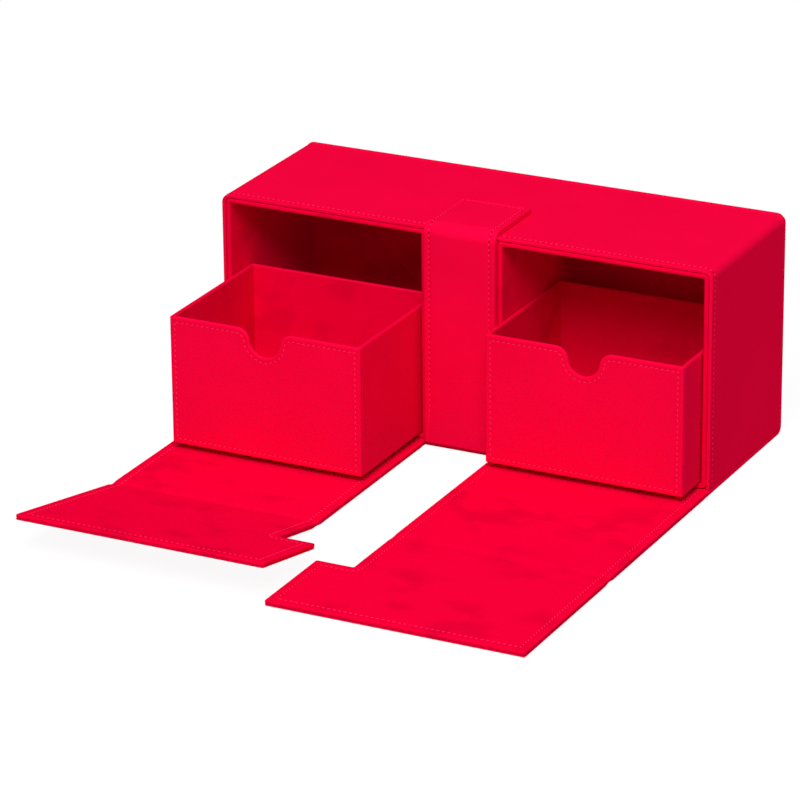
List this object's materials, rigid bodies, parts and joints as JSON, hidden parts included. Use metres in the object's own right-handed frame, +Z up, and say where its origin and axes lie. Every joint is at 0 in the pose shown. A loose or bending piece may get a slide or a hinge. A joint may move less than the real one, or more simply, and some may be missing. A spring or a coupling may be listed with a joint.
{
  "type": "playing card box with drawers",
  "caption": "Leatherette card box with open-topped pull-out trays in lined compartments, a centre strap and folding wrap-over flaps laid open at the front.",
  "frame": {"origin": "middle of the case's underside, on the surface that it stands on", "axes": "+X to the right as seen from the front, +Y to the back, +Z up; the trays slide out and the flaps lie towards -Y"},
  "size_m": [0.248, 0.279, 0.1106],
  "materials": {
    "leatherette": "satin",
    "suede": "matte",
    "greyboard": "matte",
    "steel": "satin",
    "nickel": "polished"
  },
  "bodies": {
    "case": {"spine_skin": "leatherette", "base_board": "greyboard", "back_board": "greyboard", "wrap_skin": "leatherette", "wrap_top_board": "greyboard", "wrap_left_board": "greyboard", "wrap_right_board": "greyboard", "left_keeper": "steel", "right_keeper": "steel", "centre_board": "greyboard", "strap_skin": "leatherette", "strap_front_board": "greyboard", "strap_top_board": "greyboard", "left_liner_cloth": "suede", "left_liner_floor_board": "greyboard", "left_liner_roof_board": "greyboard", "left_liner_inner_board": "greyboard", "left_liner_outer_board": "greyboard", "left_liner_back_board": "greyboard", "right_liner_cloth": "suede", "right_liner_floor_board": "greyboard", "right_liner_roof_board": "greyboard", "right_liner_inner_board": "greyboard", "right_liner_outer_board": "greyboard", "right_liner_back_board": "greyboard"},
    "left_tray": {"left_tray_front_skin": "leatherette", "left_tray_body_skin": "leatherette", "left_tray_floor_board": "greyboard", "left_tray_front_board": "greyboard", "left_tray_back_board": "greyboard", "left_tray_left_board": "greyboard", "left_tray_right_board": "greyboard", "left_tray_lining": "suede"},
    "right_tray": {"right_tray_front_skin": "leatherette", "right_tray_body_skin": "leatherette", "right_tray_floor_board": "greyboard", "right_tray_front_board": "greyboard", "right_tray_back_board": "greyboard", "right_tray_left_board": "greyboard", "right_tray_right_board": "greyboard", "right_tray_lining": "suede"},
    "left_flap": {"left_panel_skin": "leatherette", "left_panel_board": "greyboard", "left_panel_lining": "suede"},
    "left_tip": {"left_tip_skin": "leatherette", "left_tip_board": "greyboard", "left_tip_lining": "suede", "left_tip_magnet_1": "nickel", "left_tip_magnet_2": "nickel"},
    "right_flap": {"right_panel_skin": "leatherette", "right_panel_board": "greyboard", "right_panel_lining": "suede"},
    "right_tip": {"right_tip_skin": "leatherette", "right_tip_board": "greyboard", "right_tip_lining": "suede", "right_tip_magnet_1": "nickel", "right_tip_magnet_2": "nickel"}
  },
  "joints": [
    {"name": "left_tray_slide", "type": "slide", "parent": "case", "child": "left_tray", "axis": [0, -1, 0], "range_m": [-0.0605, 0.0245]},
    {"name": "right_tray_slide", "type": "slide", "parent": "case", "child": "right_tray", "axis": [0, -1, 0], "range_m": [-0.0197, 0.0653]},
    {"name": "left_flap_fold", "type": "hinge", "parent": "case", "child": "left_flap", "pos_m": [-0.07135, -0.0454, 0.00025], "axis": [-1, 0, 0], "range_deg": [-90, 0]},
    {"name": "right_flap_fold", "type": "hinge", "parent": "case", "child": "right_flap", "pos_m": [0.07135, -0.0454, 0.00025], "axis": [-1, 0, 0], "range_deg": [-90, 0]},
    {"name": "left_tip_fold", "type": "hinge", "parent": "left_flap", "child": "left_tip", "pos_m": [-0.07135, -0.1512, 0.00025], "axis": [-1, 0, 0], "range_deg": [-11.2, 78.8]},
    {"name": "right_tip_fold", "type": "hinge", "parent": "right_flap", "child": "right_tip", "pos_m": [0.07135, -0.1512, 0.00025], "axis": [-1, 0, 0], "range_deg": [0, 90]}
  ]
}
